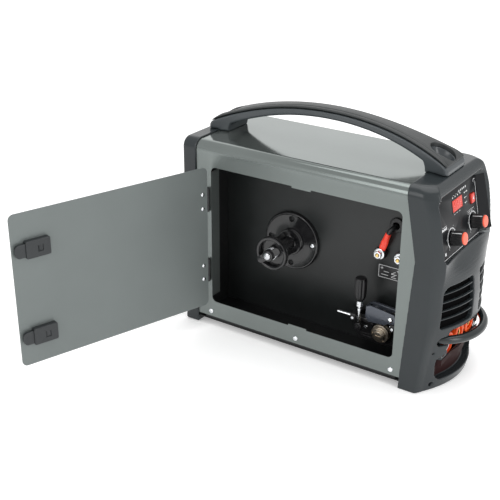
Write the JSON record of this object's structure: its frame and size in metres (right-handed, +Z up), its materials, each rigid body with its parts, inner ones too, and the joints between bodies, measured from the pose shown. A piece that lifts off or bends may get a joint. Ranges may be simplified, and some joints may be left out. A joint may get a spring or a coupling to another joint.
{
  "type": "mig welding machine",
  "caption": "Portable MIG welding machine: sheet cover with an open door, spool hub, wire feeder, arched handle, bulged front with knobs, display, sockets and guard bar.",
  "frame": {"origin": "centre of the base plate's underside; the moulded feet reach 10 mm lower", "axes": "+X towards the control front, -Y the door side, +Z up"},
  "size_m": [0.4968, 0.4671, 0.35],
  "materials": {
    "cover_paint": "glossy",
    "black_sheet": "satin",
    "bezel_plastic": "satin",
    "handle_plastic": "satin",
    "grip_plastic": "matte",
    "bar_plastic": "satin",
    "bright_screws": "bright zinc",
    "bright_steel": "bright",
    "socket_orange": "glossy",
    "panel_face": "satin print",
    "display_red": "lit window",
    "lamp_white": "glossy",
    "circuit_board": "satin",
    "knob_black": "matte",
    "button_red": "glossy",
    "hub_black": "glossy",
    "feeder_black": "satin",
    "motor_steel": "satin",
    "roll_steel": "dull nickel",
    "arm_metal": "satin",
    "brass": "satin",
    "lead_black": "matte",
    "sleeve_red": "glossy",
    "label_black": "printed",
    "heatsink_aluminium": "extruded",
    "core_iron": "varnished",
    "copper_winding": "varnished wire",
    "fan_black": "satin",
    "gland_black": "satin",
    "hinge_black": "satin",
    "latch_plastic": "satin"
  },
  "bodies": {
    "case": {"base_plate": "black_sheet", "cover": "cover_paint", "rear_panel": "black_sheet", "rear_bezel": "bezel_plastic", "front_bezel": "bezel_plastic", "socket_panel": "black_sheet", "partition": "black_sheet", "case_screws": "bright_screws", "handle_base": "handle_plastic", "handle_grip": "grip_plastic", "guard_bar": "bar_plastic", "torch_outlet": "socket_orange", "socket_negative": "socket_orange", "socket_positive": "socket_orange", "control_panel": "panel_face", "display_window": "display_red", "indicator_lamps": "lamp_white", "control_board": "circuit_board", "potentiometers": "bright_steel", "hub_flange": "hub_black", "hub_axle": "bright_steel", "brake_spring": "bright_steel", "feeder_body": "feeder_black", "compartment_screws": "bright_screws", "wire_guides": "bright_steel", "feed_motor": "motor_steel", "terminal_insulators": "hub_black", "terminal_studs": "brass", "terminal_nuts": "bright_steel", "polarity_lead": "lead_black", "lug_sleeve": "sleeve_red", "cable_grommet": "lead_black", "terminal_label": "label_black", "power_board": "circuit_board", "heatsinks": "heatsink_aluminium", "transformer": "core_iron", "output_choke": "copper_winding", "fan_frame": "fan_black", "switch_frame": "fan_black", "mains_gland": "gland_black", "gas_valve": "brass", "frame_hinges": "hinge_black"},
    "door": {"door_panel": "cover_paint", "door_hinges": "hinge_black", "door_rivets": "bright_screws", "latch_housings": "latch_plastic"},
    "upper_latch": {"latch_bolt_upper": "latch_plastic"},
    "lower_latch": {"latch_bolt_lower": "latch_plastic"},
    "hub": {"spool_hub": "hub_black"},
    "hub_lock": {"hub_lock": "hub_black"},
    "left_knob": {"knob_left": "knob_black"},
    "right_knob": {"knob_right": "knob_black"},
    "button": {"mode_button": "button_red"},
    "roll": {"drive_roll": "roll_steel"},
    "idler": {"idler_roll": "roll_steel"},
    "arm": {"pressure_arm": "arm_metal"},
    "tensioner": {"tensioner": "bright_steel"},
    "tension_knob": {"tension_knob": "knob_black"},
    "fan": {"fan_rotor": "fan_black"},
    "rocker": {"power_rocker": "button_red"}
  },
  "joints": [
    {"name": "door_hinge", "type": "hinge", "parent": "case", "child": "door", "pos_m": [-0.1505, -0.0885, 0.14], "axis": [0, 0, 1], "range_deg": [-60, 108.8]},
    {"name": "upper_latch_slide", "type": "slide", "parent": "door", "child": "upper_latch", "axis": [-0.3223, -0.9466, 0], "range_m": [0, 0.008]},
    {"name": "lower_latch_slide", "type": "slide", "parent": "door", "child": "lower_latch", "axis": [-0.3223, -0.9466, 0], "range_m": [0, 0.008]},
    {"name": "hub_spin", "type": "hinge", "parent": "case", "child": "hub", "pos_m": [-0.052, -0.045, 0.13], "axis": [0, -1, 0], "continuous": true},
    {"name": "hub_lock_turn", "type": "hinge", "parent": "hub", "child": "hub_lock", "pos_m": [-0.052, -0.076, 0.13], "axis": [0, -1, 0], "range_deg": [0, 90]},
    {"name": "left_knob_turn", "type": "hinge", "parent": "case", "child": "left_knob", "pos_m": [0.203, -0.0344, 0.205], "axis": [0.9781, 0, 0.2079], "range_deg": [-140, 140]},
    {"name": "right_knob_turn", "type": "hinge", "parent": "case", "child": "right_knob", "pos_m": [0.203, 0.0366, 0.205], "axis": [0.9781, 0, 0.2079], "range_deg": [-140, 140]},
    {"name": "button_press", "type": "slide", "parent": "case", "child": "button", "axis": [-0.9781, 0, -0.2079], "range_m": [0, 0.0015], "stiffness_N_per_m": 400, "springref_m": -0.0005},
    {"name": "roll_spin", "type": "hinge", "parent": "case", "child": "roll", "pos_m": [0.111, -0.032, 0.0335], "axis": [0, -1, 0], "continuous": true},
    {"name": "arm_lift", "type": "hinge", "parent": "case", "child": "arm", "pos_m": [0.128, -0.022, 0.063], "axis": [0, 1, 0], "range_deg": [0, 60]},
    {"name": "idler_spin", "type": "hinge", "parent": "arm", "child": "idler", "pos_m": [0.111, -0.032, 0.0585], "axis": [0, -1, 0], "continuous": true},
    {"name": "tensioner_swing", "type": "hinge", "parent": "case", "child": "tensioner", "pos_m": [0.08, -0.043, 0.04], "axis": [0, 1, 0], "range_deg": [-65, 0]},
    {"name": "tension_turn", "type": "hinge", "parent": "tensioner", "child": "tension_knob", "pos_m": [0.08, -0.043, 0.1], "axis": [0, 0, 1], "range_deg": [-180, 180]},
    {"name": "fan_spin", "type": "hinge", "parent": "case", "child": "fan", "pos_m": [-0.16, 0.038, 0.185], "axis": [1, 0, 0], "continuous": true},
    {"name": "rocker_tilt", "type": "hinge", "parent": "case", "child": "rocker", "pos_m": [-0.174, 0.038, 0.244], "axis": [0, 1, 0], "range_deg": [0, 20]}
  ],
  "couplings": [
    {"joint": "idler_spin", "follows": "roll_spin", "ratio": -1.4}
  ]
}
